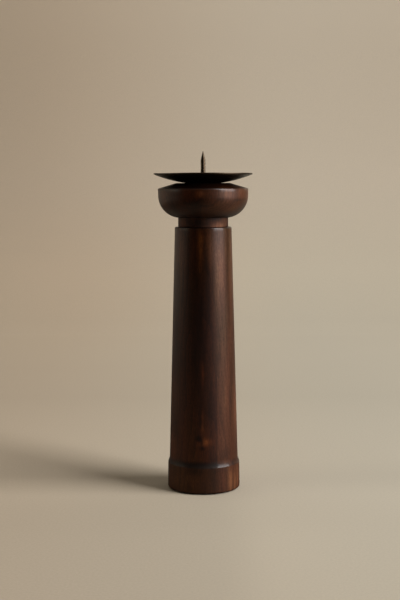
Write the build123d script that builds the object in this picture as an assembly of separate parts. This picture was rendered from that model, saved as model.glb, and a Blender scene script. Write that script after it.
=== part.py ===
"""Pricket candle stand: turned column and capital, steel spike, and a drip pan that lifts off over it.

Millimetres, +Z up. The origin is the middle of the foot, on the surface that the stand rests on.
Every piece is turned or spun, so most outlines are drawn with x as the radius and y as the height.
"""

import os
from math import asin, cos, sin, sqrt

from build123d import *

# Felt pad, glued into a recess under the foot
felt_thickness = 2.0
felt_proud = 0.5
felt_edge_margin = 4.0
felt_clearance = 0.3

# Column: foot band, cove and tapered shaft, turned from one blank
foot_height = 24.1
foot_flare = 0.35
foot_step = 1.5
foot_edge_round = 2.0
cove_height = 5.7
cove_edge_round = 0.3
shaft_height = 211.6
shaft_bottom_diameter = 63.1
shaft_top_diameter = 51.9
shoulder_round = 1.1

# Capital: neck, round-bottomed bowl, slightly flared wall and sloping crown with a flat top
shoulder_width = 3.1
neck_height = 8.3
neck_relief = 0.4
bowl_diameter = 82.5
bowl_curve_radius = 20.2
wall_height = 6.3
wall_flare = 0.25
crown_height = 5.0
crown_flat_diameter = 49.0
crown_round = 6.0
bowl_rim_round = 0.9

# Dowel that joins the capital to the column
dowel_diameter = 16.0
dowel_depth_in_column = 30.0
dowel_depth_in_capital = 15.0
dowel_end_gap = 0.8
dowel_clearance = 0.1
dowel_chamfer = 1.2
dowel_flutes = 12
dowel_flute_radius = 0.6

# Barbed brass insert, pressed into the capital, and the spike's machine thread in it
thread_diameter = 6.0
thread_length = 11.5
thread_clearance = 0.05
insert_diameter = 10.0
insert_length = 13.0
insert_clearance = 0.05
barb_count = 5
barb_depth = 0.5

# Spike: notched flange sunk in the crown, stout root through the pan, slim pin and long point
flange_diameter = 12.0
flange_thickness = 1.6
flange_sink = 0.2
flange_clearance = 0.2
notch_count = 2
notch_width = 2.0
notch_depth = 1.6
root_diameter = 5.2
root_above_pan = 0.3
root_round = 0.4
pin_diameter = 4.2
pin_length = 19.4
point_length = 8.0
point_round = 7.0
tip_diameter = 0.5

# Drip pan: flat seat and shallow spherical flare
pan_diameter = 90.0
pan_flat_diameter = 26.0
pan_curve_radius = 118.0
pan_thickness = 1.1
pan_hole_clearance = 0.35

# Levels, from the surface upwards
wood_bottom = felt_proud
foot_top = wood_bottom + foot_height
shaft_bottom = foot_top + cove_height
shoulder = shaft_bottom + shaft_height
bowl_bottom = shoulder + neck_height
wall_bottom = bowl_bottom + bowl_curve_radius
wall_top = wall_bottom + wall_height
crown_top = wall_top + crown_height
flange_top = crown_top - flange_sink
flange_bottom = flange_top - flange_thickness
pan_floor = crown_top + pan_thickness
root_top = pan_floor + root_above_pan
point_base = root_top + pin_length
spike_tip = point_base + point_length

# Radii that two pieces share
foot_top_radius = shaft_bottom_diameter / 2 + foot_step
foot_bottom_radius = foot_top_radius + foot_flare
felt_radius = foot_bottom_radius - felt_edge_margin
neck_radius = shaft_top_diameter / 2 - shoulder_width
dowel_socket_radius = dowel_diameter / 2 + dowel_clearance
insert_socket_radius = insert_diameter / 2 + insert_clearance


def polygon(*points):
    """Flat outline through the points, closed."""
    return make_face(Polyline(*points, close=True))


def rounded(outline, point, radius):
    """The outline with its corner at the point rounded."""
    return fillet(outline.vertices().sort_by_distance(point)[0], radius)


def turned(outline):
    """Solid turned about Z from an outline of radius and height."""
    return revolve(Plane.XZ * outline, Axis.Z)


def upright(radius, bottom, top):
    """Cylinder about Z between two levels."""
    seat = Pos(0, 0, bottom)
    return seat * Cylinder(radius, top - bottom, align=(Align.CENTER, Align.CENTER, Align.MIN))


def felt_pad():
    return upright(felt_radius, 0, felt_thickness)


def column():
    shaft_bottom_radius = shaft_bottom_diameter / 2
    shaft_top_radius = shaft_top_diameter / 2
    foot_corner = (foot_bottom_radius, wood_bottom)
    cove_low = (foot_top_radius, foot_top)
    cove_high = (shaft_bottom_radius, shaft_bottom)
    shoulder_corner = (shaft_top_radius, shoulder)
    down_shaft = Vector(cove_high) - Vector(shoulder_corner)
    side = Curve() + [
        TangentArc(cove_high, cove_low, tangent=down_shaft),
        Polyline(cove_low, foot_corner, (0, wood_bottom), (0, shoulder), shoulder_corner, cove_high),
    ]
    outline = rounded(make_face(side), foot_corner, foot_edge_round)
    outline = rounded(outline, cove_low, cove_edge_round)
    outline = rounded(outline, shoulder_corner, shoulder_round)
    dowel_socket = upright(dowel_socket_radius, shoulder - dowel_depth_in_column, shoulder)
    felt_recess = upright(felt_radius + felt_clearance, wood_bottom, felt_thickness)
    return turned(outline) - dowel_socket - felt_recess


def capital():
    rim = (bowl_diameter / 2, wall_top)
    crown_edge = (crown_flat_diameter / 2, crown_top)
    curve_end = (bowl_diameter / 2 - wall_flare, wall_bottom)
    curve_start = (bowl_diameter / 2 - wall_flare - bowl_curve_radius, bowl_bottom)
    side = Curve() + [
        Line((0, bowl_bottom), curve_start),
        RadiusArc(curve_start, curve_end, -bowl_curve_radius),
        Polyline(curve_end, rim, crown_edge, (0, crown_top), (0, bowl_bottom)),
    ]
    outline = rounded(make_face(side), rim, bowl_rim_round)
    outline = rounded(outline, crown_edge, crown_round)
    neck = turned(
        polygon(
            (0, shoulder),
            (neck_radius - neck_relief, shoulder),
            (neck_radius, shoulder + neck_relief),
            (neck_radius, wall_bottom),
            (0, wall_bottom),
        )
    )
    dowel_socket = upright(dowel_socket_radius, shoulder, shoulder + dowel_depth_in_capital)
    insert_socket = upright(insert_socket_radius, flange_bottom - insert_length, flange_bottom)
    flange_socket = upright(flange_diameter / 2 + flange_clearance, flange_bottom, crown_top)
    return turned(outline) + neck - dowel_socket - insert_socket - flange_socket


def joining_dowel():
    bottom = shoulder - dowel_depth_in_column + dowel_end_gap
    top = shoulder + dowel_depth_in_capital - dowel_end_gap
    dowel = upright(dowel_diameter / 2, bottom, top)
    ends = dowel.edges().filter_by(GeomType.CIRCLE)
    dowel = chamfer(ends, dowel_chamfer)
    flute = upright(dowel_flute_radius, bottom, top)
    return dowel - PolarLocations(dowel_diameter / 2, dowel_flutes) * flute


def threaded_insert():
    top = flange_bottom
    bottom = top - insert_length
    barb_radius = insert_diameter / 2
    bore_radius = thread_diameter / 2 + thread_clearance
    barb_pitch = insert_length / barb_count
    outline = [(bore_radius, top), (bore_radius, bottom)]
    for barb in range(barb_count):
        level = bottom + barb * barb_pitch
        outline.append((barb_radius - barb_depth, level))
        outline.append((barb_radius, level + barb_pitch))
    return turned(polygon(*outline))


def pricket_spike():
    root_radius = root_diameter / 2
    pin_radius = pin_diameter / 2
    root_corner = (root_radius, root_top)
    point_corner = (pin_radius, point_base)
    outline = polygon(
        (0, flange_bottom - thread_length),
        (thread_diameter / 2, flange_bottom - thread_length),
        (thread_diameter / 2, flange_bottom),
        (flange_diameter / 2, flange_bottom),
        (flange_diameter / 2, flange_top),
        (root_radius, flange_top),
        root_corner,
        (pin_radius, root_top),
        point_corner,
        (tip_diameter / 2, spike_tip),
        (0, spike_tip),
    )
    outline = rounded(outline, root_corner, root_round)
    outline = rounded(outline, point_corner, point_round)
    flange_middle = (flange_bottom + flange_top) / 2
    notch = Pos(0, 0, flange_middle) * Box(2 * notch_depth, notch_width, flange_thickness)
    return turned(outline) - PolarLocations(flange_diameter / 2, notch_count) * notch


def drip_pan():
    """Dish between two concentric spheres, with a flat seat, a half-round edge and a hole for the spike."""
    inner_curve_radius = pan_curve_radius - pan_thickness
    middle_radius = pan_curve_radius - pan_thickness / 2
    edge_radius = pan_thickness / 2
    seat_radius = pan_flat_diameter / 2
    hole_radius = root_diameter / 2 + pan_hole_clearance
    curve_centre = crown_top + sqrt(pan_curve_radius**2 - seat_radius**2)
    inner_seat_radius = sqrt(inner_curve_radius**2 - (curve_centre - pan_floor) ** 2)
    rim_slope = asin((pan_diameter / 2 - edge_radius) / middle_radius)
    across_sheet = Vector(sin(rim_slope), -cos(rim_slope))
    along_sheet = Vector(cos(rim_slope), sin(rim_slope))
    centre = Vector(0, curve_centre)
    under_rim = centre + across_sheet * pan_curve_radius
    upper_rim = centre + across_sheet * inner_curve_radius
    rim_edge = centre + across_sheet * middle_radius + along_sheet * edge_radius
    under_seat = Vector(seat_radius, crown_top)
    upper_seat = Vector(inner_seat_radius, pan_floor)
    side = Curve() + [
        Line((hole_radius, crown_top), under_seat),
        RadiusArc(under_seat, under_rim, -pan_curve_radius),
        ThreePointArc(under_rim, rim_edge, upper_rim),
        RadiusArc(upper_rim, upper_seat, inner_curve_radius),
        Polyline(upper_seat, (hole_radius, pan_floor), (hole_radius, crown_top)),
    ]
    return turned(make_face(side))


os.makedirs("parts", exist_ok=True)
for piece in (felt_pad, column, capital, joining_dowel, threaded_insert, pricket_spike, drip_pan):
    export_step(piece(), f"parts/{piece.__name__}.step")
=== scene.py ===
"""Looks of a pricket candle stand: stained wood, blackened steel, felt, and the studio that it stands in.

Metres, +Z up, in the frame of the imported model. The camera looks along +Y.
Wood is cut from solid procedural timber, so its marks are placed in millimetres of the same frame.
"""

import math

import bmesh
import bpy
from mathutils import Euler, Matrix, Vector, noise


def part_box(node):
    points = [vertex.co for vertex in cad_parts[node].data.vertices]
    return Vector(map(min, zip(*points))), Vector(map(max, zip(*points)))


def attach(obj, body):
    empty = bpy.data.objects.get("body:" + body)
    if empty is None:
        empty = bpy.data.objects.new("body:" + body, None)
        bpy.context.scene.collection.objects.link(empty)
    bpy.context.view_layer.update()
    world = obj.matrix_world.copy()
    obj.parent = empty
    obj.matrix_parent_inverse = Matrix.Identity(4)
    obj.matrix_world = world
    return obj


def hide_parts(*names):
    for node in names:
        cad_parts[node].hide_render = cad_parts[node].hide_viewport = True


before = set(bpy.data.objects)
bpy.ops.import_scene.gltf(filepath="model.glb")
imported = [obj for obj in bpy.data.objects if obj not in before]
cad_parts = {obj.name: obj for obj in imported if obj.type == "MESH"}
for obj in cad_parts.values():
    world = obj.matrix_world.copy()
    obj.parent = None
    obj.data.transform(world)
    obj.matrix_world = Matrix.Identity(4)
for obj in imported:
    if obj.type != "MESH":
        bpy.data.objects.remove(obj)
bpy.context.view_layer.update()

MM = 0.001
MM_PER_METRE = 1000
SHARP_ANGLE_DEG = 35

# Camera, from the photograph's frame of 400 by 600 pixels
FRAME_HEIGHT_PX = 600
FOCAL_PX = 1150
HORIZON_ROW_PX = 183.75
LONG_SENSOR_SIDE_MM = 36
CAMERA_PLACE = Vector((-2.8 * MM, -1052 * MM, 281 * MM))
CAMERA_ROLL_DEG = 0.16

# Studio: paper cove, open towards the camera
COVE_LEFT = -1.6
COVE_RIGHT = 2.6
COVE_BACK = 1.7
COVE_FRONT_LEFT = -0.7
COVE_FRONT_RIGHT = -2.5
COVE_CORNER_RADIUS = 0.6
COVE_FOOT_RADIUS = 0.6
COVE_TOP = 3.0
COVE_STEPS = 16
FLOOR_FRONT = -4.0
FLOOR_LEFT = -4.0

# Paper: warmer and darker to the left, which paints the fall of the light, with painted shade dimming the
# floor to the front and the left, and a pale card along the left wall and on the floor to the right
PAPER_LEFT = (0.51, 0.414, 0.308)
PAPER_RIGHT = (0.575, 0.515, 0.413)
WALL_LEFT = (0.517, 0.430, 0.333)
WALL_RIGHT = (0.592, 0.526, 0.435)
PAPER_WALL_LIFT = 1.12
PAPER_WALL_LOW = 0.02
PAPER_WALL_HIGH = 0.32
FLOOR_TURNS = (-0.30, 0.25)
WALL_TURNS = (-0.45, 0.25)
# Painted shade: the paper darker far to the left
FAR_LEFT_SHARE = 0.92
FAR_LEFT_FADES = (-0.60, -0.15)
# Shares of the paper's colour along y on the floor, and on its rise to the wall, which paint light and shade
FLOOR_SHADES = (
    (-0.28, 0.95), (-0.12, 0.90), (0.10, 0.90), (0.45, 0.81), (0.70, 0.84),
    (1.05, 0.905), (1.22, 0.965), (1.32, 1.03), (1.42, 1.09), (1.50, 1.10),
)
# Painted light and shade: the floor darker to the right, and lighter at the front right
FLOOR_RIGHT_SHARE = 0.95
FLOOR_RIGHT_FADES = (0.02, 0.22)
FRONT_RIGHT_SHARE = 1.10
FRONT_RIGHT_FADES = (-0.01, 0.07)
FRONT_FADES = (0.06, -0.06)
# Painted shade: the floor is dimmed to the front and to the left, and not on the wall
DIM_FRONT_FROM = -0.285
DIM_FRONT_TO = -0.45
DIM_LEFT_FROM = -0.25
DIM_LEFT_TO = -0.55
DIM_LEFT_SLANT = 0.45
DIM_LEFT_ENDS_FROM = -0.50
DIM_LEFT_ENDS_TO = -0.72
DIM_ENDS = (0.03, 0.06)
DIM_SHARE = 0.10
CARD_COLOR = (0.79, 0.76, 0.65)
CARD_FROM = -0.85
CARD_TO = -1.05
RIGHT_CARD_FADES = (0.185, 0.30)
RIGHT_CARD_BACK_FADES = (0.20, 0.02)
# In gloss, as a painted reflection, the floor met at a low angle shows darker, and the card on the left wall
# brighter low down but dimmer above and towards the back
GLOSS_FLOOR_SHARE = 0.15
GLOSS_STEEP_PART = 0.65
GLOSS_ANGLE_BLEND = 0.5
GLOSS_FLOOR_ANGLES = (0.50, 0.70)
GLOSS_FLOOR_FADES = (0.02, 0.12)
GLOSS_CARD_SHARE = 1.5
GLOSS_CARD_TOP_SHARE = 0.7
GLOSS_CARD_LEVELS = (0.18, 0.34)
GLOSS_CARD_BACK_SHARE = 0.6
GLOSS_CARD_BACK_FADES = (0.4, 1.3)
PAPER_ROUGHNESS = 0.9
PAPER_MOTTLE = 0.09
PAPER_MOTTLE_SIZE = (0.002, 0.002, 0.002)
PAPER_MOTTLE_DETAIL = 4.0

# Lamps: radiance in units at which white paper renders white
KEY_AZIMUTH_DEG = 69
SKIRT_AZIMUTH_DEG = 65
KEY_WIDTH_DEG = 42
KEY_DISTANCE = 1.4
KEY_BOTTOM = 0.38
KEY_TOP = 2.6
KEY_RADIANCE = 6.4
SKIRT_BOTTOM = 0.12
SKIRT_RADIANCE = 5.1
FILL_SIDE = 2.5
FILL_HEIGHT = 2.4
FILL_RADIANCE = 0.32
WASH_PLACE = (0.3, 0.75, 2.5)
WASH_TARGET = (0.2, 1.7, 0.9)
WASH_WIDTH = 2.6
WASH_HEIGHT = 0.5
WASH_RADIANCE = 3.0
ROOM_RADIANCE = 0.04
ROOM_COLOR = (1.0, 0.9, 0.75)

# Drip pan, in millimetres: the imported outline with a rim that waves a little, thicker outside the seat
PAN_FLAT_DIAMETER = 26
PAN_SEAT_DIAMETER = 32
PAN_CURVE_RADIUS = 118
PAN_THICKNESS = 1.1
PAN_HOLE_DIAMETER = 5.9
PAN_HOLE_BEVEL = 0.15
PAN_SEGMENTS = 180
PAN_CURVE_STEPS = 24
PAN_EDGE_STEPS = 8
# Lobes round the rim, height, and the direction of a crest in degrees
PAN_WAVES = ((3, 0.16, -95), (5, 0.10, 35))
# Direction and reach of each dent in degrees, and its depth at the rim
PAN_DENTS = ((-56, 24, 0.25), (-112, 48, 0.26), (118, 34, 0.35))

# Spike, in millimetres, from the end of its thread to its tip
THREAD_DIAMETER = 6
THREAD_LENGTH = 11.5
THREAD_PITCH = 1.0
THREAD_DEPTH = 0.55
THREAD_STEPS = 8
THREAD_BEVEL = 0.7
FLANGE_DIAMETER = 12
FLANGE_THICKNESS = 1.6
FLANGE_BEVEL = 0.2
NOTCH_WIDTH = 2.0
NOTCH_DEPTH = 1.6
NOTCH_SIDE_STEP = 0.01
ROOT_DIAMETER = 5.2
ROOT_LENGTH = 1.6
ROOT_ROUND = 0.4
ROOT_ROUND_STEPS = 5
PIN_DIAMETER = 4.2
PIN_LENGTH = 19.4
PIN_STEPS = 26
POINT_LENGTH = 8
POINT_STEPS = 12
POINT_ROUND = 7
POINT_ROUND_STEPS = 6
TIP_DIAMETER = 0.5
TIP_STEPS = 4
SPIKE_SEGMENTS = 64
SPIKE_UNEVEN = 0.05
SPIKE_UNEVEN_SIZE = 3.0

# Felt pad, in millimetres
FELT_EDGE_ROUND = 0.6
FELT_RING_STEP = 1.2
FELT_SEGMENTS = 180
FELT_EDGE_STEPS = 4
FELT_UNEVEN = 0.14
FELT_UNEVEN_SIZE = 1.6

# Steel, brass, beech and felt: colours, and in millimetres the sizes of noise and the depth of the relief
PAN_STEEL = ((0.021, 0.0165, 0.0115), (0.037, 0.0275, 0.017))
# Browner rim of the pan: wear, and a painted brown reflection of the floor
PAN_RIM_WEAR_AND_REFLECTION = (0.036, 0.023, 0.014)
PAN_RIM_TINT_RADIUS = 43.9
PAN_STEEL_ROUGHNESS = 0.40
SPIKE_STEEL = ((0.068, 0.047, 0.030), (0.100, 0.071, 0.047))
SPIKE_STEEL_ROUGHNESS = 0.30
STEEL_LINE_SIZE = (0.28, 1.0, 0.28)
STEEL_LINE_DETAIL = 3.0
STEEL_LINE_TONE = 0.4
STEEL_LINE_ROUGHNESS = 0.05
STEEL_LINE_RELIEF = 0.6
STEEL_SCALE_SIZE = (2.4, 2.4, 2.4)
STEEL_SCALE_DETAIL = 4.0
STEEL_SCALE_ROUGHNESS = 0.12
STEEL_SPECK_SIZE = (0.45, 0.45, 0.45)
STEEL_SPECK_RELIEF = 0.4
STEEL_TONE_RANGE = (-0.5, 0.6)
STEEL_RIM_TINT_RAGGED = 1.6
STEEL_RIM_TINT_FADE = 1.2
STEEL_RELIEF = 0.012
BRASS_TONES = ((0.70, 0.47, 0.17), (0.30, 0.19, 0.07))
BRASS_LINE_SIZE = (0.15, 1.0, 0.15)
BRASS_ROUGHNESS = 0.26
BRASS_RELIEF = 0.01
TARNISH_SIZE = (1.8, 1.8, 1.8)
TARNISH_DETAIL = 4.0
TARNISH_RANGE = (-0.2, 0.7)
TARNISH_ROUGHNESS = 0.25
BEECH_TONES = ((0.60, 0.41, 0.25), (0.45, 0.28, 0.155))
BEECH_GRAIN_SIZE = (1.1, 1.1, 45)
BEECH_GRAIN_DETAIL = 3.0
BEECH_GRAIN_RANGE = (-0.6, 0.6)
BEECH_GRAIN_TONE = 0.6
BEECH_RAY_SIZE = (0.5, 0.5, 2.6)
BEECH_RAY_DETAIL = 1.0
BEECH_RAY_RANGE = (0.25, 0.5)
BEECH_RAY_TONE = 0.4
BEECH_RAY_ROUGHNESS = -0.1
BEECH_ROUGHNESS = 0.62
BEECH_RELIEF = 0.02
FELT_TONES = ((0.030, 0.021, 0.016), (0.075, 0.055, 0.042))
FELT_TONE_RANGE = (-0.2, 0.7)
FELT_SWIRL_SIZE = (1.3, 1.3, 1.3)
FELT_SWIRL_SHIFTS = ((0, 0, 0), (31, 7, 5))
FELT_FIBRE_SIZES = ((0.12, 0.7, 0.2), (0.7, 0.12, 0.2))
FELT_ROUGHNESS = 0.96
FELT_SHEEN = 0.35
FELT_SHEEN_ROUGHNESS = 0.6
FELT_RELIEF = 0.15

# Stained wood: tones from the darkest stain to the palest streak
WOOD_TONES = (
    (0.00, (0.0070, 0.0016, 0.0001)),
    (0.20, (0.0180, 0.0042, 0.0004)),
    (0.42, (0.0420, 0.0106, 0.0015)),
    (0.65, (0.0840, 0.0248, 0.0052)),
    (1.00, (0.1900, 0.0660, 0.0155)),
)
# Tints of the stain: red and gold drift, the foot is golden, and the board right of the seam is paler, and
# paler still higher up as a painted sheen on the lit side
WOOD_RED_TINT = (1.06, 0.84, 0.78)
WOOD_GOLD_TINT = (0.98, 1.08, 1.0)
WOOD_RIGHT_TINT_AND_SHEEN = (1.0, 1.38, 3.0)
RIGHT_SHEEN_LEVELS = (30, 210)
RIGHT_SHEEN_LOW = 0.5
FOOT_GOLD = 0.75
HUE_SIZE = (14, 14, 90)
HUE_RANGE = (-0.5, 0.5)
# Middle of the tone, how much darker crevices are (painted shade and gathered stain) and faces that point up
# or down (end grain, and painted shade under the pan and the bowl), and the gloss of the stained wood
WOOD_MIDDLE_TONE = 0.42
CREVICE_SHADE_AND_STAIN = 0.14
WOOD_END_GRAIN_AND_SHADE = 0.30
WOOD_REFRACTION = 1.31
# Lacquer: it starts and ends on slopes by the z of the normal, and is rubbed off by its x
LACQUER_ROUGHNESS = 0.14
LACQUER_WEIGHT = 1.0
LACQUER_STARTS = (0.15, 0.65)
LACQUER_ENDS = (0.94, 0.80)
LACQUER_RUBBED = (-0.95, -0.45)
# Grain: sizes of noise in millimetres, and what each adds to the tone, the roughness and the relief
WANDER_SIZE = (24, 24, 85)
WANDER_SHIFTS = ((0, 0, 0), (90, 40, 10))
RING_WANDER = 3.0
RING_SPACING = 1.9
LATE_WOOD_POWER = 2.0
LATE_WOOD_TONE = -0.09
BOARD_SIZE = (9, 9, 110)
BOARD_TONE = 0.16
STRAND_SIZE = (1.9, 1.9, 38)
STRAND_TONE = 0.11
STRAND_ROUGHNESS = 0.06
FLECK_SIZE = (1.0, 1.0, 2.8)
FLECK_TONE = 0.17
FIBRE_SIZE = (0.5, 0.5, 9)
FIBRE_DETAIL = 3.0
FIBRE_TONE = 0.18
FIBRE_RELIEF = 0.7
PORE_SIZE = (0.45, 0.45, 5)
PORE_DETAIL = 1.0
PORE_EDGES = (0.50, 0.70)
PORE_TONE = 0.14
PORE_ROUGHNESS = 0.1
PORE_RELIEF = -0.8
WOOD_RELIEF = 0.02
# Glue line between two boards, blurred on the foot and above its top
SEAM_SHARP = 0.3
SEAM_BLURRED = 7.0
SEAM_FOOT_LEVELS = (20, 32)
SEAM_TOP_FADE = 40
SEAM_LINE_EDGES = (0.15, 0.7)
SEAM_LINE_TONE = -0.10


class Graph:
    """Shader nodes of one material. A socket given as an input is linked, any other value is set."""

    def __init__(self, name):
        self.material = bpy.data.materials.new(name)
        self.material.use_nodes = True
        self.tree = self.material.node_tree
        self.tree.nodes.clear()

    def feed(self, socket, value):
        if isinstance(value, bpy.types.NodeSocket):
            self.tree.links.new(value, socket)
        else:
            socket.default_value = value

    def add(self, kind, inputs=None, **settings):
        node = self.tree.nodes.new(kind)
        for name, value in settings.items():
            setattr(node, name, value)
        for name, value in (inputs or {}).items():
            self.feed(node.inputs[name], value)
        return node

    def math(self, operation, *values):
        node = self.add("ShaderNodeMath", operation=operation)
        for socket, value in zip(node.inputs, values):
            self.feed(socket, value)
        return node.outputs[0]

    def vector(self, operation, *values):
        node = self.add("ShaderNodeVectorMath", operation=operation)
        for socket, value in zip(node.inputs, values):
            self.feed(socket, value)
        return node.outputs["Value" if operation == "LENGTH" else "Vector"]

    def total(self, *values):
        """Sum of several values."""
        result = values[0]
        for value in values[1:]:
            result = self.math("ADD", result, value)
        return result

    def weighted(self, *pairs):
        """Sum of several values, each times its weight."""
        return self.total(*(self.math("MULTIPLY", value, weight) for value, weight in pairs))

    def place(self):
        """Object coordinates in millimetres."""
        metres = self.add("ShaderNodeTexCoord").outputs["Object"]
        return self.vector("MULTIPLY", metres, (MM_PER_METRE,) * 3)

    def axes(self, vector):
        return self.add("ShaderNodeSeparateXYZ", {"Vector": vector}).outputs

    def rings(self, place):
        """Distance from the Z axis, and a place in which rings round that axis are points."""
        radius = self.vector("LENGTH", self.vector("MULTIPLY", place, (1, 1, 0)))
        ring = self.add("ShaderNodeCombineXYZ", {"X": radius, "Z": self.axes(place)["Z"]})
        return radius, ring.outputs[0]

    def noise(self, place, size, detail=2.0):
        """Noise about zero, mostly within half a unit, with grains of the size given along each axis."""
        cells = self.vector("DIVIDE", place, size)
        grains = self.add("ShaderNodeTexNoise", {"Vector": cells, "Scale": 1.0, "Detail": detail})
        return self.math("MULTIPLY", self.math("SUBTRACT", grains.outputs[0], 0.5), 2.0)

    def push(self, place, size, shifts):
        """Drift along x and y, from two noises that the shifts set apart."""
        along_x, along_y = (self.noise(self.vector("ADD", place, shift), size) for shift in shifts)
        return self.add("ShaderNodeCombineXYZ", {"X": along_x, "Y": along_y}).outputs[0]

    def rise(self, value, start, end, low=0.0, high=1.0):
        """Smooth step from low at the start to high at the end."""
        limits = {"Value": value, "From Min": start, "From Max": end, "To Min": low, "To Max": high}
        return self.add("ShaderNodeMapRange", limits, interpolation_type="SMOOTHSTEP").outputs[0]

    def spot(self, place, centre, reach):
        """1 at the centre, falling smoothly to 0 at the reach along each axis."""
        away = self.vector("LENGTH", self.vector("DIVIDE", self.vector("SUBTRACT", place, centre), reach))
        return self.rise(away, 0.0, 1.0, 1.0, 0.0)

    def marks(self, place, marks):
        """Sum of what each mark, given as centre, reach and change, adds at a place."""
        return self.weighted(*((self.spot(place, centre, reach), change) for centre, reach, change in marks))

    def ramp(self, value, stops):
        node = self.add("ShaderNodeValToRGB", {"Fac": value})
        elements = node.color_ramp.elements
        while len(elements) < len(stops):
            elements.new(1.0)
        for element, (position, color) in zip(elements, stops):
            element.position = position
            element.color = (*color, 1)
        return node.outputs["Color"]

    def shades(self, value, levels):
        """Grey level that runs straight from one pair of value and level to the next."""
        first, last = levels[0][0], levels[-1][0]
        limits = {"Value": value, "From Min": first, "From Max": last}
        way = self.add("ShaderNodeMapRange", limits).outputs[0]
        return self.ramp(way, [((at - first) / (last - first), (level,) * 3) for at, level in levels])

    def mix(self, factor, first, second, blend="MIX"):
        node = self.add("ShaderNodeMix", data_type="RGBA", blend_type=blend)
        colors = [socket for socket in node.inputs if socket.type == "RGBA"]
        self.feed(node.inputs[0], factor)
        for socket, color in zip(colors, (first, second)):
            self.feed(socket, (*color, 1) if isinstance(color, tuple) else color)
        return next(socket for socket in node.outputs if socket.type == "RGBA")

    def bump(self, height, depth):
        node = self.add("ShaderNodeBump", {"Height": height, "Distance": depth, "Strength": 1.0})
        return node.outputs["Normal"]

    def surface(self, shader_inputs):
        shader = self.add("ShaderNodeBsdfPrincipled", shader_inputs)
        self.add("ShaderNodeOutputMaterial", {"Surface": shader.outputs[0]})
        return self.material


# Marks of the wood: centre and reach in millimetres, then what each adds to the tone, or to the painted
# sheen. Some marks paint light and shade into the tone, as said above each.
COLUMN_MARKS = (
    # Darker front: partly a darker board, partly painted shade on the front turned from the side light
    ((-3.0, -28, 150), (16, 20, 165), -0.27),
    # Painted sheen: paler top between the flame and the highlight
    ((5.0, -26, 222), (4.8, 14, 36), 0.24),
    ((7.0, -31, 82), (7.0, 14, 42), -0.14),
    ((-3.4, -26, 221), (4.4, 14, 34), 0.34),
    ((4.0, -26, 190), (3.0, 14, 60), -0.12),
    ((10.5, -25, 222), (4.0, 14, 28), 0.10),
    # Paler upper right: partly the paler board, partly painted light and sheen where the key falls
    ((15.0, -21, 205), (9.5, 16, 60), 0.31),
    ((13.4, -27, 124), (5.0, 12, 10), -0.10),
    ((-1.5, -25, 233), (4.5, 12, 9), 0.16),
    # Paler right side: partly the paler board, partly painted light where the key falls
    ((15.0, -23, 140), (11, 18, 120), 0.10),
    ((22.0, -20, 95), (12, 20, 80), 0.08),
    ((-21.0, -15, 222), (11, 18, 52), 0.24),
    ((24.0, -10, 205), (9.0, 16, 60), 0.16),
    ((22.3, -14.5, 205), (2.8, 10, 75), -0.20),
    ((16.0, -27, 48), (8.0, 14, 20), 0.08),
    ((24.8, -18.0, 100), (2.6, 10, 64), -0.22),
    ((20.6, -23, 86), (4.0, 10, 42), 0.10),
    ((-0.9, -28, 111), (3.5, 14, 20), 0.28),
    ((-1.0, -29, 72), (2.4, 14, 7), 0.20),
    ((-0.8, -30, 60), (2.2, 14, 9), 0.16),
    ((1.6, -31, 48.6), (4.2, 10, 6.6), 0.42),
    ((6.2, -31, 48.0), (5.4, 10, 5.8), 0.28),
    ((-2.6, -31, 48.2), (2.2, 10, 5.0), -0.16),
    ((-4.6, -31, 51.6), (3.6, 10, 4.4), -0.42),
    ((-1.4, -31, 42.6), (4.4, 10, 3.0), -0.28),
    ((-4.5, -31, 47.0), (8.0, 12, 4.5), 0.12),
    ((24.6, -22, 11), (4.2, 10, 24), 0.40),
    ((29.0, -15, 9), (2.6, 10, 22), 0.40),
    ((31.5, -9, 12), (4.0, 10, 26), 0.42),
    ((20.0, -26, 12), (11, 16, 24), 0.05),
    ((21.0, -23, 36), (6.0, 10, 8), -0.08),
    ((30.0, -8, 76), (5.0, 14, 42), 0.26),
    ((-28.0, -12, 40), (8.0, 16, 26), 0.32),
    ((-27.5, -12, 88), (7.0, 16, 40), 0.18),
    ((-29.0, -13, 12), (9.0, 16, 24), 0.26),
    # Painted shade: darker foot just under the front of the cove
    ((-9.0, -32, 22), (12, 14, 6), -0.18),
    # Painted light: paler right of the cove, where its highlight falls
    ((19.0, -26, 27.5), (10, 12, 4.5), 0.26),
    ((-19, -26, 48), (26, 26, 85), 0.15),
    ((-17, -28, 10), (30, 26, 18), 0.09),
    # Painted shade: darker cove across the front and the left
    ((-9, -30, 27.5), (36, 28, 4.5), -0.22),
    ((-24, 14, 150), (10, 14, 95), 0.18),
    ((-6.0, 28, 200), (5.0, 12, 48), 0.26),
    ((8.0, 28, 120), (8.0, 14, 110), -0.20),
    ((22, 20, 70), (7.0, 12, 60), 0.18),
)
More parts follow.
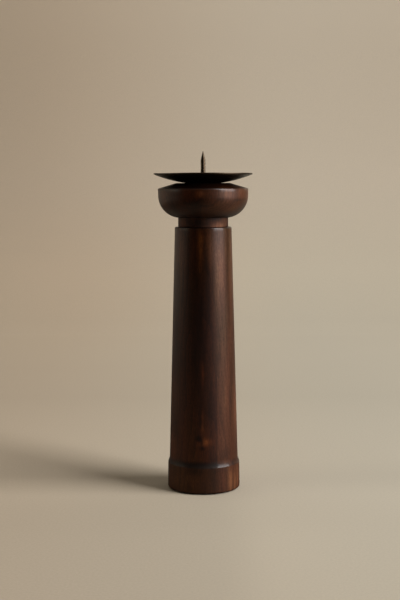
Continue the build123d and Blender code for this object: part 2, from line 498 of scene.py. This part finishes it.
# Painted sheen: a broad soft highlight high on the column, painted in as the paler tint of the board right
# of the seam
COLUMN_PAINTED_SHEEN = (((7.0, -25, 222), (8.0, 16, 55), 1.0),)
COLUMN_WOOD = {
    "pith": (-1.0, 46),
    "seam": 11.8,
    "seam_top": 140,
    "board_contrast": 0.14,
    "redness": 0.18,
    # Painted shade, with gathered stain, in the cove
    "crevices": ((27, 4),),
    "finish": ((5, 0.64), (32, 0.56), (140, 0.51), (236, 0.37)),
    "lacquer_edge": (238.0, 241.5, 0.5),
    "marks": COLUMN_MARKS,
    "painted_sheen": COLUMN_PAINTED_SHEEN,
}
CAPITAL_MARKS = (
    # Darker front: partly darker wood, partly painted shade on the front turned from the side light
    ((-4.0, -40, 264), (16, 20, 26), -0.16),
    ((-2.5, -41, 272), (8.5, 14, 5.5), 0.28),
    ((35.0, -22, 274), (7.0, 16, 12), 0.24),
    ((40.0, -10, 270), (5.0, 16, 12), 0.22),
    # Painted highlight: paler right wall, where the rim's highlight runs down
    ((21.0, -34, 272.5), (15, 16, 11), 0.37),
    # Painted highlight: paler lower right of the bowl
    ((25.0, -24, 260), (13, 18, 8), 0.18),
    ((32.0, -26, 266.5), (10, 14, 1.8), -0.14),
    ((15.0, -36, 267.5), (12, 14, 2.0), -0.08),
    ((14.0, -36, 263), (12, 14, 3.5), 0.12),
    ((-33, -20, 271), (14, 18, 13), 0.22),
    ((-32, -18, 262), (10, 16, 8), 0.14),
    ((0.0, -34, 257), (42, 30, 7), 0.18),
    # Painted shade: darker front of the neck under the bowl
    ((-6.0, -22, 246), (18, 14, 6), -0.24),
    # Painted light: paler right of the neck, where the light reaches under the bowl
    ((14.0, -18, 242.5), (13, 12, 6.5), 0.46),
    # Painted light: paler right of the neck, up to the bowl
    ((20.0, -12, 248), (6.0, 10, 10), 0.20),
    ((-18.0, -14, 245), (8.0, 12, 9), 0.24),
    # Painted shadow of the bowl on the top of the neck
    ((11.0, -20, 250.5), (16, 12, 4), -0.22),
    ((-16, 36, 268), (10, 16, 14), 0.22),
)
CAPITAL_WOOD = {
    "pith": (9.0, 52),
    "seam": -2.2,
    "seam_top": 290,
    "board_contrast": 0.05,
    "redness": 0.42,
    # Painted shade under the pan, with gathered stain, at the top of the crown
    "crevices": ((282, 3),),
    "finish": ((248, 0.66), (257, 0.42), (290, 0.40)),
    "lacquer_edge": (273.0, 276.0, 0.6),
    "marks": CAPITAL_MARKS,
}


def seam_sides(graph, x, z, seam, seam_top):
    """How far a place lies on the board right of the seam, and how far on the glue line."""
    below_top = graph.rise(z, seam_top - SEAM_TOP_FADE, seam_top, 1.0, 0.0)
    sharp = graph.math("MULTIPLY", graph.rise(z, *SEAM_FOOT_LEVELS), below_top)
    blur = graph.rise(sharp, 0.0, 1.0, SEAM_BLURRED, SEAM_SHARP)
    right_of_seam = graph.math("SUBTRACT", x, seam)
    beyond_seam = graph.rise(graph.math("DIVIDE", right_of_seam, blur), -1.0, 1.0)
    near_seam = graph.rise(graph.math("ABSOLUTE", right_of_seam), *SEAM_LINE_EDGES, 1.0, 0.0)
    return beyond_seam, graph.math("MULTIPLY", near_seam, sharp)


def wood_tint(graph, drifted, z, beyond_seam, redness, painted_sheen):
    """Tint of the stain: red or gold, and paler right of the seam, for the board and, most of all high up,
    as a painted sheen, and paler in the painted sheen marks.
    """
    off_foot = graph.math("MAXIMUM", graph.rise(z, *SEAM_FOOT_LEVELS), beyond_seam)
    hue = graph.noise(drifted, HUE_SIZE)
    red = graph.total(hue, redness, graph.math("MULTIPLY", off_foot, FOOT_GOLD), -FOOT_GOLD)
    tint = graph.mix(graph.rise(red, *HUE_RANGE), WOOD_GOLD_TINT, WOOD_RED_TINT)
    # Right of the seam: the paler board, rising with height into a painted sheen on the lit side
    pale = graph.math("MULTIPLY", beyond_seam, graph.rise(z, *RIGHT_SHEEN_LEVELS, RIGHT_SHEEN_LOW, 1.0))
    # Painted sheen marks tint the wood like the paler board, as a painted highlight
    if painted_sheen:
        pale = graph.total(pale, graph.marks(drifted, painted_sheen))
    return graph.mix(pale, tint, graph.mix(1.0, tint, WOOD_RIGHT_TINT_AND_SHEEN, "MULTIPLY"))


def lacquer_weight(graph, z, normal, lacquer_edge):
    """Lacquer gathered on slopes and towards an edge, none on flat tops, rubbed off on the left."""
    edge_start, edge_end, edge_weight = lacquer_edge
    off_top = graph.rise(normal["Z"], *LACQUER_ENDS)
    slope = graph.rise(normal["Z"], *LACQUER_STARTS, 0.0, LACQUER_WEIGHT)
    edge = graph.rise(z, edge_start, edge_end, 0.0, edge_weight)
    gathered = graph.math("MULTIPLY", graph.math("MAXIMUM", slope, edge), off_top)
    return graph.math("MULTIPLY", gathered, graph.rise(normal["X"], *LACQUER_RUBBED))


def stained_wood(
    name, pith, seam, seam_top, board_contrast, redness, crevices, finish, lacquer_edge, marks, painted_sheen=()
):
    """Dark stained hardwood with its grain along Z, in satin lacquer.

    The pith is the x and y of the rings' middle. The seam is the x of the glue line between two boards,
    which shows up to seam_top, and the board on its right is paler by the board contrast. Crevices are
    levels darkened by painted shade and gathered stain, each with its reach. The finish is pairs of height
    and roughness. The lacquer edge is the two levels between which the lacquer thickens, and its weight at
    the upper one. Marks change the tone, some as painted light and shade, and in the painted sheen the wood
    left of the seam is tinted like the board on its right, as a painted highlight.
    """
    graph = Graph(name)
    place = graph.place()
    axes = graph.axes(place)
    x, z = axes["X"], axes["Z"]
    normal = graph.axes(graph.add("ShaderNodeTexCoord").outputs["Normal"])
    push = graph.push(place, WANDER_SIZE, WANDER_SHIFTS)
    drifted = graph.vector("ADD", place, graph.vector("MULTIPLY", push, (RING_WANDER,) * 3))

    flat_drifted = graph.vector("MULTIPLY", drifted, (1, 1, 0))
    ring_radius = graph.vector("LENGTH", graph.vector("SUBTRACT", flat_drifted, (*pith, 0)))
    phase = graph.math("FRACT", graph.math("DIVIDE", ring_radius, RING_SPACING))
    late_wood = graph.math("POWER", phase, LATE_WOOD_POWER)
    board = graph.noise(drifted, BOARD_SIZE)
    strand = graph.noise(drifted, STRAND_SIZE)
    fleck = graph.noise(place, FLECK_SIZE)
    fibre = graph.noise(place, FIBRE_SIZE, FIBRE_DETAIL)
    pore = graph.rise(graph.noise(place, PORE_SIZE, PORE_DETAIL), *PORE_EDGES)
    # Faces that point up or down are darker: end grain takes more stain, and this paints shade on the crown
    # under the pan and on the bowl's underside
    end_grain_and_shade = graph.math("ABSOLUTE", normal["Z"])
    beyond_seam, seam_line = seam_sides(graph, x, z, seam, seam_top)

    tone = graph.total(
        WOOD_MIDDLE_TONE - board_contrast / 2,
        graph.weighted(
            (late_wood, LATE_WOOD_TONE),
            (board, BOARD_TONE),
            (strand, STRAND_TONE),
            (fleck, FLECK_TONE),
            (fibre, FIBRE_TONE),
            (pore, PORE_TONE),
            (end_grain_and_shade, -WOOD_END_GRAIN_AND_SHADE),
            (beyond_seam, board_contrast),
            (seam_line, SEAM_LINE_TONE),
        ),
        graph.marks(drifted, marks),
    )
    # Crevices darken by level: painted shade in the cove and under the pan, and gathered stain
    for level, reach in crevices:
        away = graph.math("ABSOLUTE", graph.math("SUBTRACT", z, level))
        tone = graph.total(tone, graph.rise(away, 0.0, reach, -CREVICE_SHADE_AND_STAIN, 0.0))
    tint = wood_tint(graph, drifted, z, beyond_seam, redness, painted_sheen)
    uneven = graph.weighted((strand, STRAND_ROUGHNESS), (pore, PORE_ROUGHNESS))
    relief = graph.weighted((fibre, FIBRE_RELIEF), (pore, PORE_RELIEF))
    return graph.surface({
        "Base Color": graph.mix(1.0, graph.ramp(tone, WOOD_TONES), tint, "MULTIPLY"),
        "Roughness": graph.total(graph.shades(z, finish), uneven),
        "IOR": WOOD_REFRACTION,
        "Coat Weight": lacquer_weight(graph, z, normal, lacquer_edge),
        "Coat Roughness": LACQUER_ROUGHNESS,
        "Normal": graph.bump(relief, WOOD_RELIEF * MM),
    })


def black_steel(name, tones, roughness, wear_and_reflection_color=None, rim_tint_radius=0.0):
    """Blackened steel with turning lines round the axis and mottled scale, browner beyond a radius at the
    rim, for wear and as a painted brown reflection of the floor.
    """
    graph = Graph(name)
    place = graph.place()
    radius, ring = graph.rings(place)
    lines = graph.noise(ring, STEEL_LINE_SIZE, STEEL_LINE_DETAIL)
    scale = graph.noise(place, STEEL_SCALE_SIZE, STEEL_SCALE_DETAIL)
    speck = graph.noise(place, STEEL_SPECK_SIZE)
    mottle = graph.total(scale, graph.math("MULTIPLY", lines, STEEL_LINE_TONE))
    color = graph.mix(graph.rise(mottle, *STEEL_TONE_RANGE), *tones)
    if wear_and_reflection_color:
        # Browner beyond the rim radius: wear, and a painted brown reflection of the floor
        ragged = graph.total(radius, graph.math("MULTIPLY", scale, STEEL_RIM_TINT_RAGGED))
        rim_tint = graph.rise(ragged, rim_tint_radius, rim_tint_radius + STEEL_RIM_TINT_FADE)
        color = graph.mix(rim_tint, color, wear_and_reflection_color)
    uneven = graph.weighted((scale, STEEL_SCALE_ROUGHNESS), (lines, STEEL_LINE_ROUGHNESS))
    relief = graph.weighted((lines, STEEL_LINE_RELIEF), (speck, STEEL_SPECK_RELIEF))
    return graph.surface({
        "Base Color": color,
        "Metallic": 1.0,
        "Roughness": graph.total(roughness, uneven),
        "Normal": graph.bump(relief, STEEL_RELIEF * MM),
    })


def tarnished_brass():
    """Turned brass with fine lines round the axis, browner where it has tarnished."""
    graph = Graph("brass")
    place = graph.place()
    ring = graph.rings(place)[1]
    lines = graph.noise(ring, BRASS_LINE_SIZE)
    tarnish = graph.rise(graph.noise(place, TARNISH_SIZE, TARNISH_DETAIL), *TARNISH_RANGE)
    return graph.surface({
        "Base Color": graph.mix(tarnish, *BRASS_TONES),
        "Metallic": 1.0,
        "Roughness": graph.total(BRASS_ROUGHNESS, graph.math("MULTIPLY", tarnish, TARNISH_ROUGHNESS)),
        "Normal": graph.bump(lines, BRASS_RELIEF * MM),
    })


def plain_beech():
    """Pale beech with straight grain along Z and the short dark flecks of its rays."""
    graph = Graph("beech")
    place = graph.place()
    grain = graph.noise(place, BEECH_GRAIN_SIZE, BEECH_GRAIN_DETAIL)
    rays = graph.rise(graph.noise(place, BEECH_RAY_SIZE, BEECH_RAY_DETAIL), *BEECH_RAY_RANGE)
    dark_grain = graph.rise(grain, *BEECH_GRAIN_RANGE, 0.0, BEECH_GRAIN_TONE)
    tone = graph.total(dark_grain, graph.math("MULTIPLY", rays, BEECH_RAY_TONE))
    return graph.surface({
        "Base Color": graph.mix(tone, *BEECH_TONES),
        "Roughness": graph.total(BEECH_ROUGHNESS, graph.math("MULTIPLY", rays, BEECH_RAY_ROUGHNESS)),
        "Normal": graph.bump(grain, BEECH_RELIEF * MM),
    })


def brown_felt():
    """Pressed felt: short matted fibres in several browns."""
    graph = Graph("felt")
    place = graph.place()
    matted = graph.vector("ADD", place, graph.push(place, FELT_SWIRL_SIZE, FELT_SWIRL_SHIFTS))
    lint = graph.math("MAXIMUM", *(graph.noise(matted, size) for size in FELT_FIBRE_SIZES))
    return graph.surface({
        "Base Color": graph.mix(graph.rise(lint, *FELT_TONE_RANGE), *FELT_TONES),
        "Roughness": FELT_ROUGHNESS,
        "Sheen Weight": FELT_SHEEN,
        "Sheen Roughness": FELT_SHEEN_ROUGHNESS,
        "Normal": graph.bump(lint, FELT_RELIEF * MM),
    })


def paper_color(graph, x, y, climb, left_card):
    """Colour of the paper, and of the cards on the right of the floor and along the left wall."""
    right_of_stand = graph.rise(x, *RIGHT_CARD_FADES)
    right_card = graph.math("MULTIPLY", right_of_stand, graph.rise(y, *RIGHT_CARD_BACK_FADES))
    floor_color = graph.mix(graph.rise(x, *FLOOR_TURNS), PAPER_LEFT, PAPER_RIGHT)
    floor_color = graph.mix(right_card, floor_color, CARD_COLOR)
    wall_color = graph.mix(graph.rise(x, *WALL_TURNS), WALL_LEFT, WALL_RIGHT)
    return graph.mix(left_card, graph.mix(climb, floor_color, wall_color), CARD_COLOR)


def paper_lift(graph, x, y, climb, mottle):
    """Share of the paper's colour, by place: painted light and shade on the floor and the wall."""
    front_right = graph.math("MULTIPLY", graph.rise(x, *FRONT_RIGHT_FADES), graph.rise(y, *FRONT_FADES))
    floor_lift = graph.shades(y, FLOOR_SHADES)
    for share in (
        graph.rise(x, *FLOOR_RIGHT_FADES, 1.0, FLOOR_RIGHT_SHARE),
        graph.rise(front_right, 0.0, 1.0, 1.0, FRONT_RIGHT_SHARE),
        graph.math("SUBTRACT", 1.0, climb),
    ):
        floor_lift = graph.math("MULTIPLY", floor_lift, share)
    lift = graph.total(floor_lift, graph.math("MULTIPLY", climb, PAPER_WALL_LIFT), mottle)
    return graph.math("MULTIPLY", lift, graph.rise(x, *FAR_LEFT_FADES, FAR_LEFT_SHARE, 1.0))


def paper_in_gloss(graph, axes, wall, lit_far, left_card):
    """Factor on the share of the paper's colour where the paper shows in gloss, and 1 elsewhere: a painted
    reflection.
    """
    x, y, z = axes
    low_angle = graph.add("ShaderNodeLayerWeight", {"Blend": GLOSS_ANGLE_BLEND}).outputs["Facing"]
    bright = graph.rise(low_angle, *GLOSS_FLOOR_ANGLES, GLOSS_STEEP_PART, 0.0)
    for bright_part in (graph.rise(x, *GLOSS_FLOOR_FADES), wall, lit_far):
        bright = graph.math("MAXIMUM", bright, bright_part)
    share = graph.rise(bright, 0.0, 1.0, GLOSS_FLOOR_SHARE, 1.0)
    card_share = graph.rise(z, *GLOSS_CARD_LEVELS, GLOSS_CARD_SHARE, GLOSS_CARD_TOP_SHARE)
    card_back = graph.rise(y, *GLOSS_CARD_BACK_FADES, 1.0, GLOSS_CARD_BACK_SHARE)
    card_share = graph.math("MULTIPLY", card_share, card_back)
    share = graph.math("MULTIPLY", share, graph.rise(left_card, 0.0, 1.0, 1.0, card_share))
    in_gloss = graph.add("ShaderNodeLightPath").outputs["Is Glossy Ray"]
    return graph.rise(in_gloss, 0.0, 1.0, 1.0, share)


def studio_paper():
    """Matt backdrop paper, with painted light and shade, and a painted reflection in gloss. Seen from below,
    the floor is clear.
    """
    graph = Graph("paper")
    metres = graph.add("ShaderNodeTexCoord").outputs["Object"]
    axes = graph.axes(metres)[:3]
    x, y, z = axes
    climb = graph.rise(z, PAPER_WALL_LOW, PAPER_WALL_HIGH)
    wall = graph.rise(z, *DIM_ENDS)
    left_card = graph.rise(x, CARD_TO, CARD_FROM, 1.0, 0.0)
    slanted_x = graph.math("ADD", x, graph.math("MULTIPLY", y, DIM_LEFT_SLANT))
    lit_near = graph.rise(slanted_x, DIM_LEFT_TO, DIM_LEFT_FROM)
    lit_far = graph.rise(x, DIM_LEFT_ENDS_TO, DIM_LEFT_ENDS_FROM, 1.0, 0.0)
    lit_front = graph.rise(y, DIM_FRONT_TO, DIM_FRONT_FROM)
    lit_floor = graph.math("MULTIPLY", lit_front, graph.math("MAXIMUM", lit_near, lit_far))
    lit = graph.rise(graph.math("MAXIMUM", lit_floor, wall), 0.0, 1.0, DIM_SHARE, 1.0)
    mottle = graph.noise(metres, PAPER_MOTTLE_SIZE, PAPER_MOTTLE_DETAIL)
    share = paper_lift(graph, x, y, climb, graph.math("MULTIPLY", mottle, PAPER_MOTTLE))
    for factor in (lit, paper_in_gloss(graph, axes, wall, lit_far, left_card)):
        share = graph.math("MULTIPLY", share, factor)
    shade = graph.add("ShaderNodeCombineColor", {"Red": share, "Green": share, "Blue": share}).outputs[0]
    color = graph.mix(1.0, paper_color(graph, x, y, climb, left_card), shade, "MULTIPLY")
    paper = graph.add("ShaderNodeBsdfDiffuse", {"Color": color, "Roughness": PAPER_ROUGHNESS})
    clear = graph.add("ShaderNodeBsdfTransparent")
    behind = graph.add("ShaderNodeNewGeometry").outputs["Backfacing"]
    shader = graph.add("ShaderNodeMixShader")
    for socket, value in zip(shader.inputs, (behind, paper.outputs[0], clear.outputs[0])):
        graph.feed(socket, value)
    graph.add("ShaderNodeOutputMaterial", {"Surface": shader.outputs[0]})
    return graph.material


def dress(node, material):
    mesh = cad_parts[node].data
    mesh.materials.clear()
    mesh.materials.append(material)


def turned(name, outline, angles, warp):
    """Mesh turned about Z from points of radius and height in millimetres, listed upwards on the outside.

    The warp takes an angle, a radius and a height and gives the radius and height to use there. A point on
    the axis becomes one vertex, and an outline that nowhere meets the axis is closed into a ring.
    """
    shape = bmesh.new()
    rings = []
    for radius, height in outline:
        if radius == 0:
            rings.append([shape.verts.new((0, 0, height * MM))] * len(angles))
            continue
        ring = []
        for angle in angles:
            out, up = warp(angle, radius, height)
            ring.append(shape.verts.new((out * math.cos(angle) * MM, out * math.sin(angle) * MM, up * MM)))
        rings.append(ring)
    pairs = list(zip(rings, rings[1:]))
    if all(radius > 0 for radius, height in outline):
        pairs.append((rings[-1], rings[0]))
    for lower, upper in pairs:
        for i in range(len(angles)):
            after = (i + 1) % len(angles)
            corners = (lower[i], lower[after], upper[after], upper[i])
            shape.faces.new(dict.fromkeys(corners)).smooth = True
    mesh = bpy.data.meshes.new(name)
    shape.to_mesh(mesh)
    shape.free()
    mesh.set_sharp_from_angle(angle=math.radians(SHARP_ANGLE_DEG))
    piece = bpy.data.objects.new(name, mesh)
    bpy.context.scene.collection.objects.link(piece)
    return piece


def round_turn(segments):
    """Evenly spaced angles of one turn."""
    return [2 * math.pi * i / segments for i in range(segments)]


def arc(centre, radius, start_deg, end_deg, steps):
    """Points on an arc, from the start angle to the end angle."""
    points = []
    for step in range(steps + 1):
        angle = math.radians(start_deg + (end_deg - start_deg) * step / steps)
        points.append((centre[0] + radius * math.cos(angle), centre[1] + radius * math.sin(angle)))
    return points


def stand_in(piece, node, body, material):
    """Puts a piece in the place of a CAD node."""
    piece.data.materials.append(material)
    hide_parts(node)
    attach(piece, body)


def add_pan(material):
    """Spun dish with a flat seat, a half-round edge and a slightly wavy, dented rim."""
    low, high = [Vector(corner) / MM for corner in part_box("drip_pan")]
    floor = low.z + PAN_THICKNESS
    hole = PAN_HOLE_DIAMETER / 2
    seat = PAN_SEAT_DIAMETER / 2
    inner_curve = PAN_CURVE_RADIUS - PAN_THICKNESS
    centre = low.z + math.sqrt(PAN_CURVE_RADIUS**2 - (PAN_FLAT_DIAMETER / 2) ** 2)
    under_centre = low.z + math.sqrt(PAN_CURVE_RADIUS**2 - seat**2)
    under_start = math.degrees(math.asin(seat / PAN_CURVE_RADIUS)) - 90
    upper_end = -math.degrees(math.asin((centre - floor) / inner_curve))
    edge_radius = (PAN_THICKNESS + centre - under_centre) / 2
    middle_curve = PAN_CURVE_RADIUS - PAN_THICKNESS / 2
    rim = math.degrees(math.asin((high.x - edge_radius) / middle_curve)) - 90
    under = arc((0, under_centre), PAN_CURVE_RADIUS, under_start, rim, PAN_CURVE_STEPS)
    upper = arc((0, centre), inner_curve, rim, upper_end, PAN_CURVE_STEPS)
    rim_middle = (Vector(under[-1]) + Vector(upper[0])) / 2
    outline = [(hole, low.z + PAN_HOLE_BEVEL), (hole + PAN_HOLE_BEVEL, low.z)]
    outline += under + arc(rim_middle, edge_radius, rim, rim + 180, PAN_EDGE_STEPS)[1:-1] + upper
    outline += [(hole + PAN_HOLE_BEVEL, floor), (hole, floor - PAN_HOLE_BEVEL)]

    def wavy(angle, radius, height):
        share = max(0.0, (radius - seat) / (high.x - seat)) ** 2
        for lobes, crest_height, crest in PAN_WAVES:
            height += share * crest_height * math.cos(lobes * (angle - math.radians(crest)))
        for direction, reach, depth in PAN_DENTS:
            off = (math.degrees(angle) - direction + 180) % 360 - 180
            if abs(off) < reach:
                height -= share * depth * math.cos(math.pi / 2 * off / reach) ** 2
        return radius, height

    pan = turned("drip_pan_spun", outline, round_turn(PAN_SEGMENTS), wavy)
    stand_in(pan, "drip_pan", "pan", material)


def add_spike(material):
    """Spike with a machine thread, a flange with two notches, a stout root, a pin and a long point."""
    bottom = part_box("pricket_spike")[0][2] / MM
    thread, flange = THREAD_DIAMETER / 2, FLANGE_DIAMETER / 2
    root, pin, tip = ROOT_DIAMETER / 2, PIN_DIAMETER / 2, TIP_DIAMETER / 2
    flange_bottom = bottom + THREAD_LENGTH
    flange_top = flange_bottom + FLANGE_THICKNESS
    root_top = flange_top + ROOT_LENGTH
    point_base = root_top + PIN_LENGTH
    point_end = point_base + POINT_LENGTH
    slope = math.atan((pin - tip) / POINT_LENGTH)
    bend = POINT_ROUND * math.tan(slope / 2)
    outline = [(0, bottom), (thread - THREAD_BEVEL, bottom)]
    rings = round(THREAD_LENGTH / THREAD_PITCH * THREAD_STEPS)
    outline += [(thread, bottom + THREAD_LENGTH * i / rings) for i in range(1, rings + 1)]
    outline += [(flange - FLANGE_BEVEL, flange_bottom), (flange, flange_bottom + FLANGE_BEVEL)]
    outline += [(flange, flange_top - FLANGE_BEVEL), (flange - FLANGE_BEVEL, flange_top), (root, flange_top)]
    outline += arc((root - ROOT_ROUND, root_top - ROOT_ROUND), ROOT_ROUND, 0, 90, ROOT_ROUND_STEPS)
    straight = PIN_LENGTH - bend
    outline += [(pin, root_top + straight * i / PIN_STEPS) for i in range(PIN_STEPS)]
    bend_centre = (pin - POINT_ROUND, point_base - bend)
    outline += arc(bend_centre, POINT_ROUND, 0, math.degrees(slope), POINT_ROUND_STEPS)
    bend_end, tip_start = outline[-1], (tip, point_end - tip)
    for i in range(1, POINT_STEPS):
        share = i / POINT_STEPS
        outline.append([start + (end - start) * share for start, end in zip(bend_end, tip_start)])
    outline += arc((0, point_end - tip), tip, 0, 90, TIP_STEPS)[:-1] + [(0, point_end)]
    notch_turn = math.asin(NOTCH_WIDTH / 2 / flange)
    notch_sides = [side + turn for side in (0, math.pi) for turn in (-notch_turn, notch_turn)]
    angles = round_turn(SPIKE_SEGMENTS)
    for side in notch_sides:
        angles += [(side - NOTCH_SIDE_STEP) % math.tau, (side + NOTCH_SIDE_STEP) % math.tau]
    angles.sort()

    def cut(angle, radius, height):
        if height < flange_bottom and radius == thread:
            turn = (height / THREAD_PITCH - angle / math.tau) % 1
            fade = min(1, (flange_bottom - height) / THREAD_PITCH)
            groove = THREAD_DEPTH * (1 - abs(2 * turn - 1)) * fade
            worn_end = max(0, THREAD_BEVEL - (height - bottom))
            return min(radius - groove, thread - worn_end), height
        if radius > root:
            from_axis = abs(math.sin(angle)) * flange
            in_notch = from_axis < NOTCH_WIDTH / 2 and radius > flange - NOTCH_DEPTH
            return (flange - NOTCH_DEPTH if in_notch else radius), height
        if height > root_top:
            spot = Vector((radius * math.cos(angle), radius * math.sin(angle), height)) / SPIKE_UNEVEN_SIZE
            return radius * (1 + SPIKE_UNEVEN * noise.noise(spot)), height
        return radius, height

    spike = turned("pricket_spike_filed", outline, angles, cut)
    stand_in(spike, "pricket_spike", "stand", material)


def add_felt(material):
    """Felt disc with a soft, slightly ragged edge and an uneven underside."""
    low, high = [Vector(corner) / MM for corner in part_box("felt_pad")]
    rim = high.x - FELT_UNEVEN
    edge = FELT_EDGE_ROUND
    count = round((rim - edge) / FELT_RING_STEP)
    flat = [(rim - edge) * i / count for i in range(count)]
    outline = [(radius, low.z) for radius in flat]
    outline += arc((rim - edge, low.z + edge), edge, -90, 0, FELT_EDGE_STEPS)
    outline += arc((rim - edge, high.z - edge), edge, 0, 90, FELT_EDGE_STEPS)
    outline += [(radius, high.z) for radius in reversed(flat)]

    def ragged(angle, radius, height):
        spot = Vector((radius * math.cos(angle), radius * math.sin(angle), height)) / FELT_UNEVEN_SIZE
        uneven = FELT_UNEVEN * noise.noise(spot)
        if radius >= rim - edge:
            radius += uneven
        if height < high.z - edge:
            height += max(0, uneven)
        return radius, height

    felt = turned("felt_pad_pressed", outline, round_turn(FELT_SEGMENTS), ragged)
    stand_in(felt, "felt_pad", "stand", material)


def add_camera():
    camera = bpy.data.objects.new("camera", bpy.data.cameras.new("camera"))
    camera.data.sensor_width = LONG_SENSOR_SIDE_MM
    camera.data.lens = FOCAL_PX / FRAME_HEIGHT_PX * LONG_SENSOR_SIDE_MM
    pitch = math.atan((FRAME_HEIGHT_PX / 2 - HORIZON_ROW_PX) / FOCAL_PX)
    camera.location = CAMERA_PLACE
    camera.rotation_euler = Euler((math.pi / 2 - pitch, math.radians(CAMERA_ROLL_DEG), 0))
    bpy.context.scene.collection.objects.link(camera)
    bpy.context.scene.camera = camera


def add_cove(material):
    """Paper floor that curves up into a left, a back and a right wall."""
    corner = COVE_CORNER_RADIUS
    plan = [(COVE_LEFT, COVE_FRONT_LEFT)]
    plan += arc((COVE_LEFT + corner, COVE_BACK - corner), corner, 180, 90, COVE_STEPS)
    plan += arc((COVE_RIGHT - corner, COVE_BACK - corner), corner, 90, 0, COVE_STEPS)
    plan.append((COVE_RIGHT, COVE_FRONT_RIGHT))
    outward = [(-1, 0)] + arc((0, 0), 1, 180, 90, COVE_STEPS) + arc((0, 0), 1, 90, 0, COVE_STEPS) + [(1, 0)]
    foot = COVE_FOOT_RADIUS
    rise = [(back - foot, height + foot) for back, height in arc((0, 0), foot, 270, 360, COVE_STEPS)]
    rise.append((0, COVE_TOP))
    points = []
    for (x, y), (out_x, out_y) in zip(plan, outward):
        points += [(x + out_x * back, y + out_y * back, height) for back, height in rise]
    count = len(rise)
    faces = []
    for i in range(len(plan) - 1):
        for j in range(count - 1):
            low = i * count + j
            faces.append((low, low + count, low + count + 1, low + 1))
    edge = [i * count for i in range(len(plan))]
    front = len(points)
    points += [(COVE_RIGHT - foot, FLOOR_FRONT, 0), (FLOOR_LEFT, FLOOR_FRONT, 0)]
    points += [(FLOOR_LEFT, COVE_FRONT_LEFT, 0)]
    faces.append((*edge, front, front + 1, front + 2)[::-1])
    mesh = bpy.data.meshes.new("cove")
    mesh.from_pydata(points, [], faces)
    mesh.shade_smooth()
    mesh.polygons[len(faces) - 1].use_smooth = False
    mesh.materials.append(material)
    cove = bpy.data.objects.new("cove", mesh)
    bpy.context.scene.collection.objects.link(cove)


def add_panel(name, centre, facing, width, height, radiance):
    """Soft rectangular lamp, which lights the object and shows in its gloss but not to the camera."""
    light = bpy.data.lights.new(name, "AREA")
    light.shape = "RECTANGLE"
    light.size = width
    light.size_y = height
    light.energy = radiance * math.pi * width * height
    panel = bpy.data.objects.new(name, light)
    panel.location = centre
    panel.rotation_euler = facing.to_track_quat("-Z", "Y").to_euler()
    panel.visible_camera = False
    bpy.context.scene.collection.objects.link(panel)


def add_lamps():
    key_width = 2 * KEY_DISTANCE * math.tan(math.radians(KEY_WIDTH_DEG / 2))
    bands = {
        "key": (KEY_AZIMUTH_DEG, KEY_BOTTOM, KEY_TOP, KEY_RADIANCE),
        "key_skirt": (SKIRT_AZIMUTH_DEG, SKIRT_BOTTOM, KEY_BOTTOM, SKIRT_RADIANCE),
    }
    for name, (azimuth_deg, bottom, top, radiance) in bands.items():
        azimuth = math.radians(azimuth_deg)
        toward = Vector((math.sin(azimuth), -math.cos(azimuth), 0))
        centre = toward * KEY_DISTANCE + Vector((0, 0, (bottom + top) / 2))
        add_panel(name, centre, -toward, key_width, top - bottom, radiance)
    add_panel("fill", Vector((0, 0, FILL_HEIGHT)), Vector((0, 0, -1)), FILL_SIDE, FILL_SIDE, FILL_RADIANCE)
    wash_facing = Vector(WASH_TARGET) - Vector(WASH_PLACE)
    add_panel("wash", Vector(WASH_PLACE), wash_facing, WASH_WIDTH, WASH_HEIGHT, WASH_RADIANCE)


def set_world():
    world = bpy.data.worlds.new("studio")
    world.use_nodes = True
    background = world.node_tree.nodes["Background"]
    background.inputs["Color"].default_value = (*ROOM_COLOR, 1)
    background.inputs["Strength"].default_value = ROOM_RADIANCE
    bpy.context.scene.world = world


dress("column", stained_wood("column_wood", **COLUMN_WOOD))
dress("capital", stained_wood("capital_wood", **CAPITAL_WOOD))
dress("threaded_insert", tarnished_brass())
dress("joining_dowel", plain_beech())
add_pan(black_steel("pan_steel", PAN_STEEL, PAN_STEEL_ROUGHNESS, PAN_RIM_WEAR_AND_REFLECTION, PAN_RIM_TINT_RADIUS))
add_spike(black_steel("spike_steel", SPIKE_STEEL, SPIKE_STEEL_ROUGHNESS))
add_felt(brown_felt())

add_camera()
add_cove(studio_paper())
add_lamps()
set_world()
bpy.context.scene.view_settings.view_transform = "Standard"
